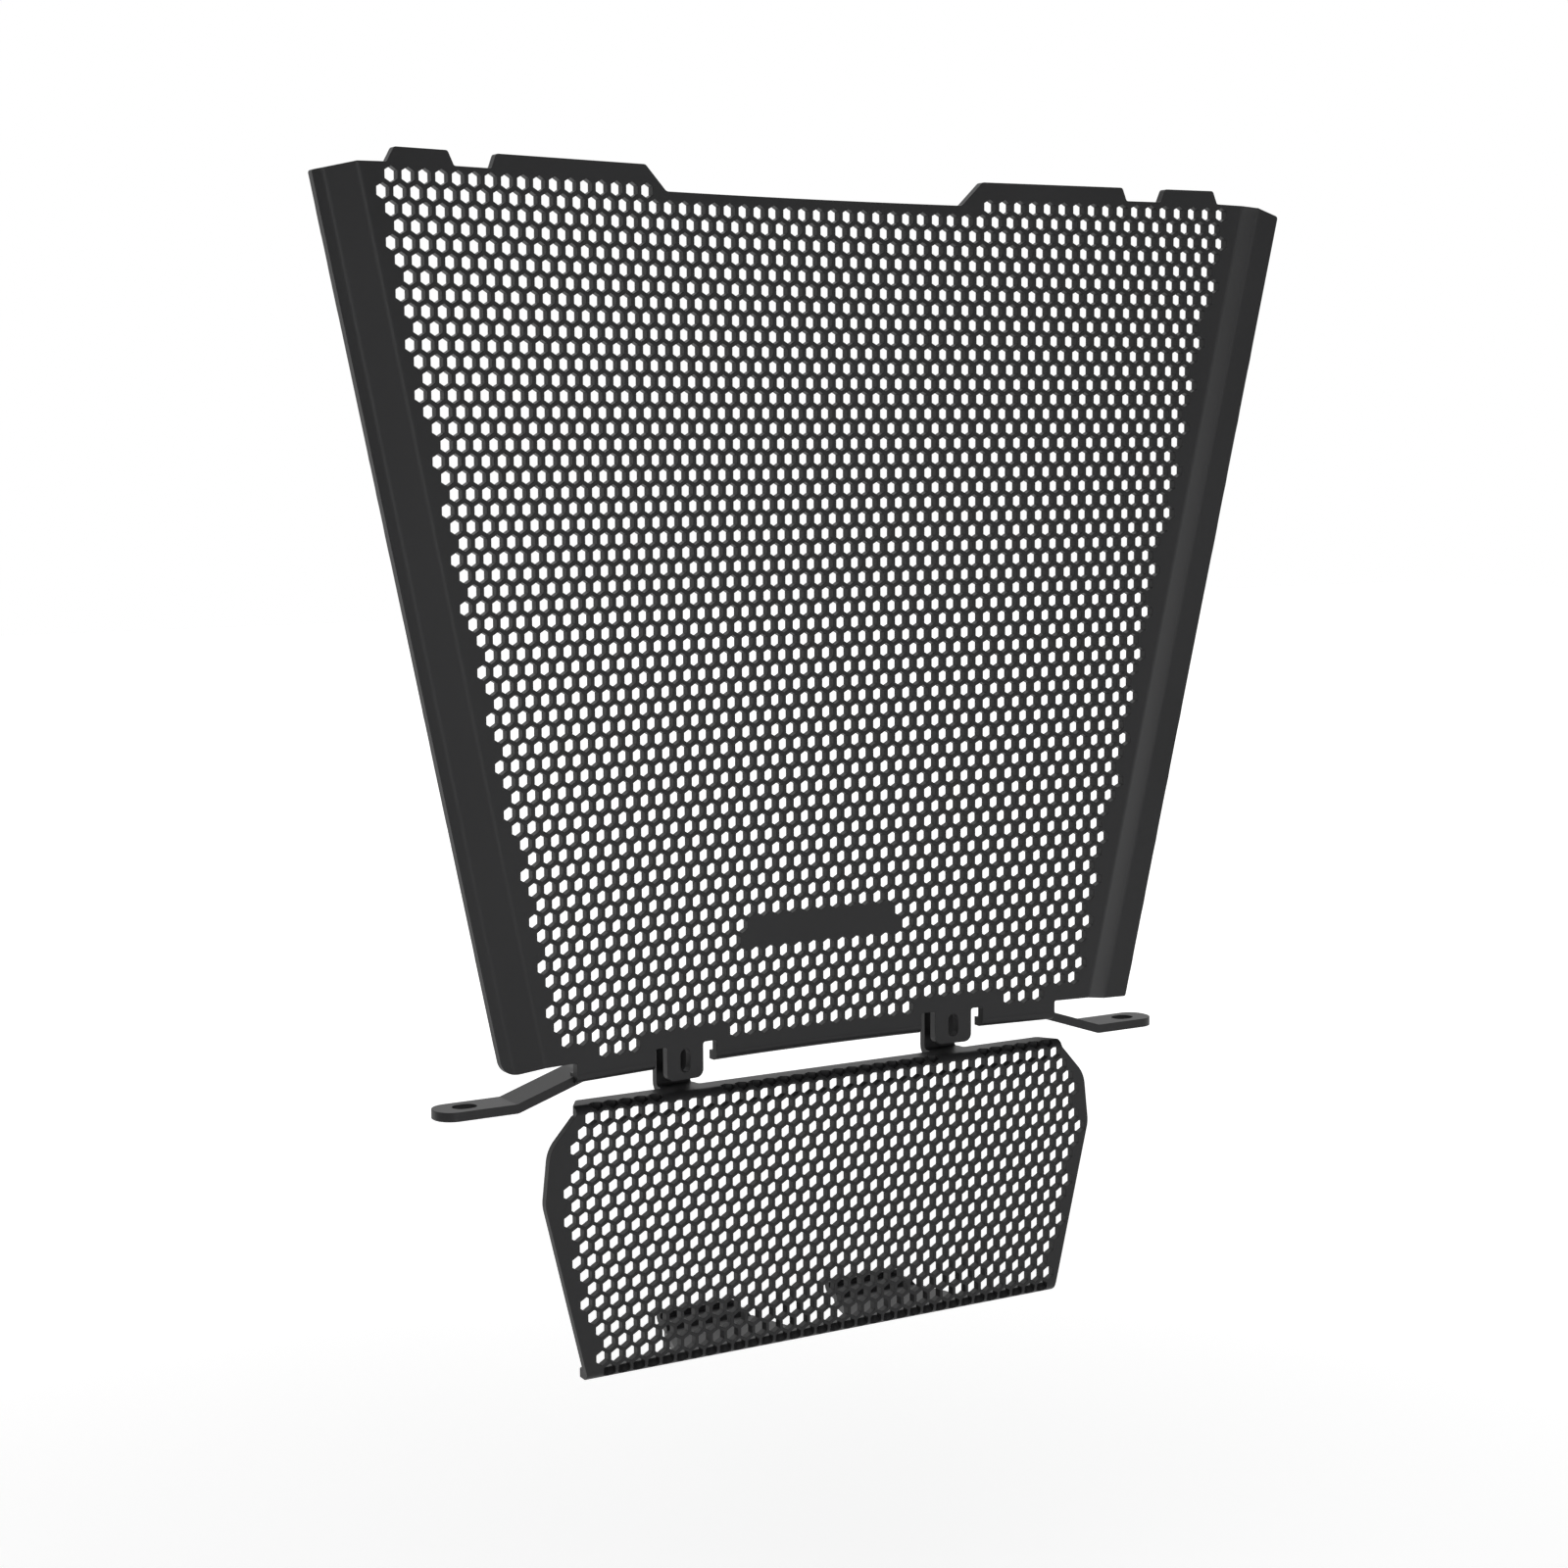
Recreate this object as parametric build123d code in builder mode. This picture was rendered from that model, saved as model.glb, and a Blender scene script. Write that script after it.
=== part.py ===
from build123d import *
import os
from math import cos, radians, sin, sqrt, tan

# Motorcycle radiator guard: a bent plate of hexagonal mesh for the radiator, with two slotted arms, and a
# smaller flanged mesh guard for the oil cooler that hangs on two slotted tabs below it.
# Millimetres. The origin is midway between the slots of the two arms, on the arms' underside.
# +Z is up, -Y points to the front wheel, +X is to the right seen from the front.

os.makedirs("parts", exist_ok=True)

# Radiator guard: bent plate
sheet = 3.2
crown_half = 72.0            # half width of the curved middle
wing_angle = 6.92            # each flat wing against the X axis
crown_front = -2.1           # front face at the middle
plate_top = 307.7
tooth_rise = 4.7             # raised teeth of the top edge
valley_drop = 3.7            # lowered middle of the top edge
valley_half = 60.3
tooth_slope = 8.3
inner_tooth_end = 123.8
outer_tooth = (143.5, 161.3)
notch_half_slope = 2.0
fold_top = (175.5, 307.4)
fold_bottom = (112.5, 15.2)
plate_bottom = 8.0
arm_step = 100.2             # half width of the low middle of the bottom edge
notch = (42.0, 68.7)
notch_top = 15.5

# Tabs and slots that join the two guards
tab_middle = 55.9
tab_width = 15.0
tab_bottom = 3.3
tab_corner = 2.8
tab_slot = (8.2, 4.0)
tab_slot_height = 9.9

# Lip along the bottom edge
lip_depth = 5.4
lip_bend = 2.6

# Side borders, stepped back from the plate
ramp_run = 10.2
ramp_back = 4.2
left_flat = 5.0
right_flat = 10.2
border_bend = 4.0
fold_lap = 1.5
corner_round = 10.0
top_drop = 3.0
bottom_drop = 2.0

# Arms
arm_width = 14.0
arm_inner = 78.0
arm_bend_top = 96.2
arm_knee = 120.6
arm_tip = 148.4
arm_end_round = 6.5
arm_bend = 3.0
arm_root_round = 10.0
arm_slot = (8.6, 6.6)
arm_slot_middle = 137.2

# Mesh of the radiator guard
mesh_pitch = 18.0
mesh_hole = 14.4             # across flats
mesh_rows = 18
mesh_middle = 160.0
mesh_rim = 2.6               # metal left between a hole and the fold
name_plate = (30.0, 52.0, 67.0)

# Reach of the cutting outlines in front of and behind the guard
cut_reach = 60.0

# Oil cooler guard
cooler_sheet = 2.5
cooler_front = -10.8
cooler_top = -1.6
cooler_bottom = -95.2
cooler_bend = 3.5
cooler_shoulder = (111.1, -13.5)
cooler_widest = (113.2, -32.1)
cooler_foot = (98.5, -93.2)
shoulder_round = 12.0
top_half = 96.0
bottom_half = 97.0
top_flange_back = -0.6
bottom_flange_back = -2.8
cooler_tab_width = 14.6
cooler_tab_top = 17.5
cooler_pitch = 17.25
cooler_rows = 5
cooler_mesh_middle = -47.5
cooler_rim = 4.0
lobe_base = (12.6, 60.0)
lobe_back = (20.2, 51.1)
lobe_reach = 27.5
lobe_step_at = 17.0
lobe_step = 2.0
lobe_lip = 2.0

crown_radius = crown_half / radians(wing_angle)
slope = tan(radians(wing_angle))
crown_end = (crown_radius * sin(radians(wing_angle)), crown_front - crown_radius * (1 - cos(radians(wing_angle))))
fold_slope = (fold_top[0] - fold_bottom[0]) / (fold_top[1] - fold_bottom[1])


def front_y(x):
    """Front face of the radiator guard's plate."""
    if abs(x) < crown_end[0]:
        return crown_front - crown_radius + sqrt(crown_radius**2 - x**2)
    return crown_end[1] - (abs(x) - crown_end[0]) * slope


def fold_x(z):
    """Half width of the plate at the fold of the side border."""
    return fold_top[0] - (fold_top[1] - z) * fold_slope


def mesh_centres(pitch, rows, middle):
    """Hexagon centres in staggered rows, as x and z."""
    for row in range(rows):
        z = middle + (row - (rows - 1) / 2) * pitch * sqrt(3) / 2
        for column in range(-12, 13):
            yield (column + row % 2 / 2) * pitch, z


def both_sides(points):
    """A right hand outline, from top to bottom, with its mirror image."""
    return points + [(-x, z) for x, z in reversed(points)]


def plate_band(depth):
    """Plan of the bent plate, from its front face back by the given depth."""
    reach = fold_top[0] + fold_lap
    with BuildSketch() as band:
        with BuildLine():
            Polyline((-reach, front_y(reach)), (-crown_end[0], crown_end[1]))
            ThreePointArc((-crown_end[0], crown_end[1]), (0, crown_front), crown_end)
            Line(crown_end, (reach, front_y(reach)))
            offset(amount=depth, side=Side.LEFT)
        make_face()
    return band.sketch


def border(side, flat, outline, rounded):
    """Side border: the plate's edge stepped back along the slanted fold, then cut to its outline."""
    low = min(z for x, z in outline) - 5
    high = max(z for x, z in outline) + 5
    start = fold_x(low)
    lap = -fold_lap
    wing = [(lap, 0), (0, 0), (ramp_run, ramp_back), (ramp_run + flat + 4, ramp_back - (flat + 4) * slope)]
    plan = [(side * (start + u), front_y(start) - min(u, 0) * slope + v) for u, v in wing]
    run = fold_slope * (high - low)
    way = Vector(side * run, -run * slope, high - low)
    with BuildPart() as piece:
        with BuildSketch(Plane.XY.offset(low)):
            with BuildLine():
                FilletPolyline(*plan, radius=border_bend)
                offset(amount=sheet, side=Side.LEFT if side > 0 else Side.RIGHT)
            make_face()
        extrude(amount=way.length, dir=way)
        with BuildSketch(Plane.XZ.offset(cut_reach)):
            with BuildLine():
                Polyline(*[(side * x, z) for x, z in outline], close=True)
            make_face()
            if rounded:
                fillet(vertices().sort_by(Axis.Y).group_by(Axis.Y)[0], radius=corner_round)
        extrude(amount=-2 * cut_reach, mode=Mode.INTERSECT)
    return piece.part


def outer(z, flat):
    """Half width of the guard at the outer edge of a side border."""
    return fold_x(z) + ramp_run + flat


# Left border: its ends are cut square to the fold, with a rounded lower corner
left_total = ramp_run + left_flat
left_low = fold_bottom[1] - left_total * fold_slope
left_high = fold_top[1] - left_total * fold_slope
left_outline = [
    (fold_top[0] - fold_lap, fold_top[1]),
    fold_top,
    (outer(left_high, left_flat), left_high),
    (outer(left_low, left_flat), left_low),
    fold_bottom,
    (fold_bottom[0] - fold_lap, fold_bottom[1]),
]

# Right border: the ramp's top is level and its bottom slopes, the flat's top slopes and its bottom is level
right_low = fold_bottom[1] - bottom_drop
right_high = fold_top[1] - top_drop
right_outline = [
    (fold_top[0] - fold_lap, fold_top[1]),
    (fold_top[0] + ramp_run, fold_top[1]),
    (outer(right_high, right_flat), right_high),
    (outer(right_low, right_flat), right_low),
    (outer(right_low, 0), right_low),
    fold_bottom,
    (fold_bottom[0] - fold_lap, fold_bottom[1]),
]
left_border = border(-1, left_flat, left_outline, True)
right_border = border(1, right_flat, right_outline, False)

# Arm: a strip that goes down from the lip to the level of its slot
with BuildPart() as arm:
    with BuildSketch(Plane.XZ):
        with BuildLine():
            FilletPolyline((arm_inner, plate_bottom), (arm_bend_top, plate_bottom), (arm_knee, 0), (arm_tip, 0),
                           radius=arm_bend)
            offset(amount=sheet, side=Side.LEFT)
        make_face()
    extrude(amount=arm_width / 2, both=True)
    upright = arm.edges().filter_by(Axis.Z)
    fillet(upright.group_by(Axis.X)[-1], radius=arm_end_round)
    upright = arm.edges().filter_by(Axis.Z).group_by(Axis.X)[0]
    fillet(upright.sort_by(Axis.Y)[-1], radius=arm_root_round)
    with BuildSketch(Plane.XY):
        with Locations((arm_slot_middle, 0)):
            SlotOverall(*arm_slot)
    extrude(amount=sheet + 1, mode=Mode.SUBTRACT)

# Radiator guard
upper_outline = both_sides([
    (valley_half, plate_top - valley_drop),
    (valley_half + tooth_slope, plate_top + tooth_rise),
    (inner_tooth_end, plate_top + tooth_rise),
    (inner_tooth_end + notch_half_slope, plate_top),
    (outer_tooth[0] - notch_half_slope, plate_top),
    (outer_tooth[0], plate_top + tooth_rise),
    (outer_tooth[1], plate_top + tooth_rise),
    (outer_tooth[1] + notch_half_slope, plate_top),
    fold_top,
    fold_bottom,
    (arm_step, fold_bottom[1]),
    (arm_step, plate_bottom),
    (notch[1], plate_bottom),
    (notch[1], notch_top),
    (notch[0], notch_top),
    (notch[0], plate_bottom),
])
mesh_point = mesh_hole / sqrt(3)


def in_radiator_mesh(x, z):
    """True where a whole hexagon fits between the folds, clear of the bare name plate."""
    clear_of_fold = abs(x) + mesh_hole / 2 < fold_x(z) - mesh_rim
    on_name_plate = abs(x) < name_plate[0] and name_plate[1] < z < name_plate[2]
    return clear_of_fold and not on_name_plate


with BuildPart() as radiator_guard:
    with BuildSketch(Plane.XY):
        add(plate_band(sheet))
    extrude(amount=plate_top + 2 * tooth_rise)
    with BuildSketch(Plane.XZ.offset(cut_reach)):
        with BuildLine():
            Polyline(*upper_outline, close=True)
        make_face()
        tab_height = 2 * (notch_top - tab_bottom)
        with Locations(*[(s * tab_middle, tab_bottom + tab_height / 2) for s in (-1, 1)]):
            RectangleRounded(tab_width, tab_height, tab_corner)
        with Locations(*[(s * tab_middle, tab_slot_height) for s in (-1, 1)]):
            SlotOverall(*tab_slot, rotation=90, mode=Mode.SUBTRACT)
        holes = [c for c in mesh_centres(mesh_pitch, mesh_rows, mesh_middle) if in_radiator_mesh(*c)]
        with Locations(*holes):
            RegularPolygon(mesh_point, 6, rotation=30, mode=Mode.SUBTRACT)
    extrude(amount=-2 * cut_reach, mode=Mode.INTERSECT)
    # Lip along the three stretches between the tab notches and the arms
    with BuildSketch(Plane.XY.offset(plate_bottom)):
        add(plate_band(lip_depth))
        with BuildSketch(mode=Mode.INTERSECT):
            Rectangle(2 * notch[0], 2 * cut_reach)
            with Locations(*[(s * (notch[1] + arm_step) / 2, 0) for s in (-1, 1)]):
                Rectangle(arm_step - notch[1], 2 * cut_reach)
    extrude(amount=sheet)
    bend = [e for e in radiator_guard.edges()
            if abs(e.center().Z - plate_bottom) < 0.01
            and abs(e.center().Y - front_y(e.center().X)) < 0.1
            and e.bounding_box().size.X > 1]
    fillet(bend, radius=lip_bend)
    add(left_border)
    add(right_border)
    add(arm.part)
    add(arm.part.mirror(Plane.YZ))

# Oil cooler guard: one sheet with a flange along its top and its bottom
cooler_outline = both_sides([
    (top_half, cooler_top),
    (top_half, cooler_top - 3),
    cooler_shoulder,
    cooler_widest,
    cooler_foot,
    (bottom_half, cooler_bottom),
])


def cooler_half(z):
    """Half width of the oil cooler guard's face."""
    above, below = (cooler_shoulder, cooler_widest) if z > cooler_widest[1] else (cooler_widest, cooler_foot)
    return below[0] + (above[0] - below[0]) * (z - below[1]) / (above[1] - below[1])


with BuildPart() as lobes:
    with BuildSketch(Plane.YZ):
        with BuildLine():
            Polyline(
                (bottom_flange_back - 3, cooler_bottom),
                (lobe_step_at, cooler_bottom),
                (lobe_step_at + lobe_step, cooler_bottom + lobe_step),
                (lobe_reach, cooler_bottom + lobe_step),
                (lobe_reach, cooler_bottom + lobe_step + cooler_sheet + lobe_lip),
            )
            offset(amount=cooler_sheet, side=Side.LEFT, kind=Kind.INTERSECTION)
        make_face()
    extrude(amount=lobe_base[1] + 1, both=True)
    with BuildSketch(Plane.XY):
        for s in (-1, 1):
            with BuildLine():
                Polyline(
                    (s * lobe_base[0], bottom_flange_back - 3),
                    (s * lobe_base[0], bottom_flange_back),
                    (s * lobe_back[0], lobe_reach),
                    (s * lobe_back[1], lobe_reach),
                    (s * lobe_base[1], bottom_flange_back),
                    (s * lobe_base[1], bottom_flange_back - 3),
                    close=True,
                )
            make_face()
    extrude(amount=cooler_bottom - 1, mode=Mode.INTERSECT)

with BuildPart() as cooler_tabs:
    with BuildSketch(Plane.YZ):
        with BuildLine():
            FilletPolyline(
                (top_flange_back - 3, cooler_top - cooler_sheet),
                (top_flange_back + cooler_sheet, cooler_top - cooler_sheet),
                (top_flange_back + cooler_sheet, cooler_tab_top),
                radius=cooler_bend,
            )
            offset(amount=cooler_sheet, side=Side.LEFT)
        make_face()
    extrude(amount=tab_middle + cooler_tab_width, both=True)
    with BuildSketch(Plane.XZ.offset(cut_reach)):
        tab_height = cooler_tab_top - cooler_top + 20
        with Locations(*[(s * tab_middle, cooler_tab_top - tab_height / 2) for s in (-1, 1)]):
            RectangleRounded(cooler_tab_width, tab_height, tab_corner)
        with Locations(*[(s * tab_middle, tab_slot_height) for s in (-1, 1)]):
            SlotOverall(*tab_slot, rotation=90, mode=Mode.SUBTRACT)
    extrude(amount=-2 * cut_reach, mode=Mode.INTERSECT)

with BuildPart() as oil_cooler_guard:
    with BuildSketch(Plane.YZ):
        with BuildLine():
            FilletPolyline(
                (top_flange_back, cooler_top),
                (cooler_front, cooler_top),
                (cooler_front, cooler_bottom),
                (bottom_flange_back, cooler_bottom),
                radius=cooler_bend,
            )
            offset(amount=cooler_sheet, side=Side.LEFT)
        make_face()
    extrude(amount=cooler_widest[0] + 1, both=True)
    with BuildSketch(Plane.XZ.offset(cut_reach)):
        with BuildLine():
            Polyline(*cooler_outline, close=True)
        make_face()
        corners = [v for v in vertices() if abs(abs(v.X) - cooler_shoulder[0]) < 0.1]
        fillet(corners, radius=shoulder_round)
        holes = [
            (x, z) for x, z in mesh_centres(cooler_pitch, cooler_rows, cooler_mesh_middle)
            if abs(x) + mesh_hole / 2 < cooler_half(z) - cooler_rim
        ]
        with Locations(*holes):
            RegularPolygon(mesh_point, 6, rotation=30, mode=Mode.SUBTRACT)
    extrude(amount=-2 * cut_reach, mode=Mode.INTERSECT)
    add(lobes.part)
    add(cooler_tabs.part)

radiator_guard.part.label = "radiator_guard"
export_step(radiator_guard.part, "parts/radiator_guard.step")
oil_cooler_guard.part.label = "oil_cooler_guard"
export_step(oil_cooler_guard.part, "parts/oil_cooler_guard.step")
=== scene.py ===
from math import cos, pi, radians, sin, sqrt, tan

import bpy
import numpy as np
from mathutils import Matrix, Vector
from mathutils.geometry import delaunay_2d_cdt
from mathutils.kdtree import KDTree


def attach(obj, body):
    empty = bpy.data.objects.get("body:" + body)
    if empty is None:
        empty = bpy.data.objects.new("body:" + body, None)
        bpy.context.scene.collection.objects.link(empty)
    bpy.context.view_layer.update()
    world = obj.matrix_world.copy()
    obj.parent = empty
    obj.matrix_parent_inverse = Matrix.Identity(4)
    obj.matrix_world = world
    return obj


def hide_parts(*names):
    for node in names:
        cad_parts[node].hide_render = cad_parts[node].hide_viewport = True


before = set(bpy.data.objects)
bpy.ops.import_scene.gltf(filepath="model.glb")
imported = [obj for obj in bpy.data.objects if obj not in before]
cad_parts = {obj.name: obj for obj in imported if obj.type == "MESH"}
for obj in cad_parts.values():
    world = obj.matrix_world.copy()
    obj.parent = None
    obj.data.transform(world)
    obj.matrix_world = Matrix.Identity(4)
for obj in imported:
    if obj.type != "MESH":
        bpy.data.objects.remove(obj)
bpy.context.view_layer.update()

# Sizes in millimetres. Most are the CAD part's own; the rest follow the photograph inside its box.
# A pair with the keys -1 and 1 is for the left and the right side.
SHEET = 3.2
CROWN_HALF = 72.0
WING = radians(6.92)
CROWN_FRONT = -2.1
PLATE_TOP = 307.7
TOOTH_RISE = 4.7
VALLEY_DROP = 3.7
# Teeth of the top edge on each side: distances from the middle, low and high in turn
TEETH = {
    -1: (60.0, 68.3, 125.8, 127.6, 141.2, 143.5, 162.6, 165.3),
    1: (58.9, 67.2, 124.2, 126.0, 140.2, 142.1, 162.5, 164.3),
}
FOLD_TOP = (175.5, 307.4)
FOLD_BOTTOM = (112.5, 15.2)
PLATE_BOTTOM = 8.0
ARM_STEP = {-1: 100.2, 1: 98.2}
NOTCH = (42.8, 68.2)           # the bottom edge's notch at each tab, from inner to outer side
NOTCH_TOP = 15.5
TAB_MIDDLE = 55.9
TAB_WIDTH = 15.0
TAB_BOTTOM = 3.3
TAB_CORNER = 2.8
TAB_SLOT = (8.2, 4.0)
TAB_SLOT_HEIGHT = 9.9
LIP_DEPTH = 5.4
LIP_BEND = 2.6
RAMP_RUN = {-1: 10.2, 1: 11.0}
RAMP_BACK = 4.2
FLAT = {-1: 4.0, 1: 9.3}
BORDER_BEND = 4.0
CORNER_ROUND = 6.0
TOP_DROP = 3.0
BOTTOM_DROP = 2.0
ARM_HALF_WIDTH = 7.0
ARM_INNER = 78.0
ARM_ROOT_FRONT = -3.0
ARM_BEND_TOP = 96.2
ARM_KNEE = 120.6
ARM_TIP = 148.4
ARM_END_ROUND = 6.5
ARM_BEND = 3.0
ARM_ROOT_ROUND = 10.0
ARM_SLOT = (8.6, 6.6)
ARM_SLOT_MIDDLE = 137.2
COOLER_SHEET = 3.0
COOLER_FRONT = -10.8
COOLER_TOP = 0.3
COOLER_BOTTOM = -95.2
COOLER_BEND = 3.2
COOLER_SHOULDER = (111.1, -13.5)
COOLER_WIDEST = (113.2, -32.1)
COOLER_FOOT = (98.5, -93.2)
SHOULDER_ROUND = 12.0
TOP_HALF = (101.0, 96.5)
BOTTOM_HALF = 98.0
TOP_FLANGE_BACK = -0.6
BOTTOM_FLANGE_BACK = -2.8
COOLER_TAB_WIDTH = 13.4
COOLER_TAB_FRONT = 4.0
TAB_RELIEF = 0.7
COOLER_TAB_TOP = 17.5
LOBE_BASE = (12.6, 60.0)
LOBE_BACK = (20.2, 51.1)
LOBE_REACH = 27.5
LOBE_STEP_AT = 17.0
LOBE_STEP = 2.0
LOBE_LIP = 2.0
FLANGE_SOLID = 9.0           # half width of the top bend left without holes at each tab

# Real mesh: pitch, size across flats, height of lattice row 0, and its offset from the outline's middle
UPPER_PITCH = 6.0
LOWER_PITCH = 5.69
UPPER_HEX = 4.5
LOWER_HEX = 4.42
UPPER_ROW_0 = 168.8
LOWER_ROW_0 = -53.27
MESH_OFFSET = 1.2

# Extent of the upper mesh, in rows counted downward and in pitches from the middle
UPPER_FIRST_ROW = -26
UPPER_LAST_ROW = 29
UPPER_REACH = {-1: (23.53, 0.2215), 1: (23.115, 0.2155)}     # half width at row 0, and its growth upward
UPPER_FIRST_SPAN = (11.5, 27.5)                              # holes of the first row, on each side
UPPER_LAST_BARE = (7, 12)                                    # no holes here in the last row, at each tab
UPPER_LAST_REACH = 15
NAME_PLATE_ROWS = (22, 23)
NAME_PLATE_HALF = 5.2

# Extent of the lower mesh. Its half width grows down to one row and shrinks below another.
LOWER_FIRST_ROW = -11                                        # this row runs along the top bend
LOWER_LAST_ROW = 8
LOWER_GROWS = {-1: (18.6, -5), 1: (18.92, -5)}               # half width, and the row where it is met
LOWER_SHRINKS = {-1: (18.6, -3), 1: (19.03, -4)}
LOWER_CHANGE = {-1: 0.18, 1: 0.2}                            # change per row
LOWER_OWN_REACH = {LOWER_FIRST_ROW: 16.6, 6: 16.2}           # rows with a half width of their own

EDGE = 0.12                  # rounding of cut edges
EDGE_IN = 0.01               # keeps the mesh inside the CAD part's faces
MERGE = 1e-5                 # points closer than this are one
SLIVER = 1e-6                # triangles smaller than this are left out
PROBE = 0.05                 # half step for the surface's own slope
LAP_IN = 6.0                 # length of plate drawn inside a border's fold, in its profile
LAP_OUT = 3.0                # spare length of its profile past the edge
FOLD_REACH = 3.0             # a border's profile takes over this far inside its fold
BEND_LINES = (-1, -0.5, 0, 0.5, 1)                           # mesh lines along each upright bend
ARM_BEND_LINES = (-1, -0.4, 0.4, 1)
MM = 0.001

RADIUS = CROWN_HALF / WING
SLOPE = tan(WING)
CROWN_END = RADIUS * sin(WING)
CROWN_END_Y = CROWN_FRONT - RADIUS * (1 - cos(WING))
FOLD_SLOPE = (FOLD_TOP[0] - FOLD_BOTTOM[0]) / (FOLD_TOP[1] - FOLD_BOTTOM[1])


def fold_x(z):
    return FOLD_TOP[0] - (FOLD_TOP[1] - z) * FOLD_SLOPE


def plate_y(x):
    """Front face of the bent plate."""
    a = np.abs(x)
    crown = CROWN_FRONT - RADIUS + np.sqrt(np.maximum(RADIUS**2 - a**2, 1))
    return np.where(a < CROWN_END, crown, CROWN_END_Y - (a - CROWN_END) * SLOPE)


def rounded(points, radii, closed=False, step=0.5):
    """A chain of 2D points with its corners rounded, each by its own radius."""
    points = [Vector(p) for p in points]
    out = []
    count = len(points)
    for k, p in enumerate(points):
        r = radii[k] if isinstance(radii, (list, tuple)) else radii
        end = not closed and k in (0, count - 1)
        a, b = points[k - 1] - p, points[(k + 1) % count] - p
        turn = 0 if end else a.angle_signed(b)
        half = abs(turn) / 2
        if end or r <= 0 or abs(pi - abs(turn)) < 0.01:
            out.append(p)
            continue
        back = r / tan(half)
        centre = p + (a.normalized() + b.normalized()).normalized() * (r / sin(half))
        start, stop = p + a.normalized() * back - centre, p + b.normalized() * back - centre
        sweep = start.angle_signed(stop)
        pieces = max(2, int(r * abs(sweep) / step))
        for i in range(pieces + 1):
            angle = -sweep * i / pieces
            c, s = cos(angle), sin(angle)
            out.append(centre + Vector((start.x * c - start.y * s, start.x * s + start.y * c)))
    return np.array([tuple(p) for p in out])


def parallel(line, distance):
    """A 2D line moved to its left by a distance, as the other face of a bent sheet."""
    d = np.gradient(line, axis=0)
    d /= np.linalg.norm(d, axis=1)[:, None]
    return line + np.c_[-d[:, 1], d[:, 0]] * distance


def dense(line, step=0.1):
    """A line resampled at close, even spacing, with the running length of each point."""
    length = np.r_[0, np.cumsum(np.linalg.norm(np.diff(line, axis=0), axis=1))]
    keep = np.r_[True, np.diff(length) > 1e-6]
    length, line = length[keep], line[keep]
    at = np.arange(0, length[-1], step)
    return np.c_[np.interp(at, length, line[:, 0]), np.interp(at, length, line[:, 1])], at


def split(line, step):
    """A closed outline with points added so that no stretch is longer than a step."""
    out = []
    for a, b in zip(line, np.roll(line, -1, axis=0)):
        pieces = max(1, int(np.ceil(np.linalg.norm(b - a) / step)))
        out.extend(a + (b - a) * i / pieces for i in range(pieces))
    return np.array(out)


def inside(points, loop):
    """True for the points inside a closed outline."""
    x, y = points[:, 0], points[:, 1]
    result = np.zeros(len(points), bool)
    for (x0, y0), (x1, y1) in zip(loop, np.roll(loop, -1, axis=0)):
        crosses = (y0 > y) != (y1 > y)
        if not crosses.any():
            continue
        at = x0 + (y - y0) * (x1 - x0) / ((y1 - y0) or 1e-12)
        result ^= crosses & (x < at)
    return result


def slot_loop(x, y, length, width, upright=False):
    """Outline of a slot with round ends."""
    turns = np.linspace(-pi / 2, pi / 2, 9)
    reach = (length - width) / 2
    right = np.c_[reach + width / 2 * np.cos(turns), width / 2 * np.sin(turns)]
    loop = np.vstack([right, -right])
    if upright:
        loop = np.c_[-loop[:, 1], loop[:, 0]]
    return loop + np.array([x, y])


HEX_CORNERS = np.array([(sin(k * pi / 3), cos(k * pi / 3)) for k in range(6)]) / sqrt(3)


def in_hexagons(points, centres, size):
    """True for the points inside a hexagon of the mesh."""
    tree = KDTree(len(centres))
    for i, c in enumerate(centres):
        tree.insert((c[0], c[1], 0), i)
    tree.balance()
    result = np.zeros(len(points), bool)
    for i, p in enumerate(points):
        c, _, far = tree.find((p[0], p[1], 0))
        if far < size:
            x, y = abs(p[0] - c[0]), abs(p[1] - c[1])
            result[i] = max(x, x / 2 + y * sqrt(3) / 2) < size / 2
    return result


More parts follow.
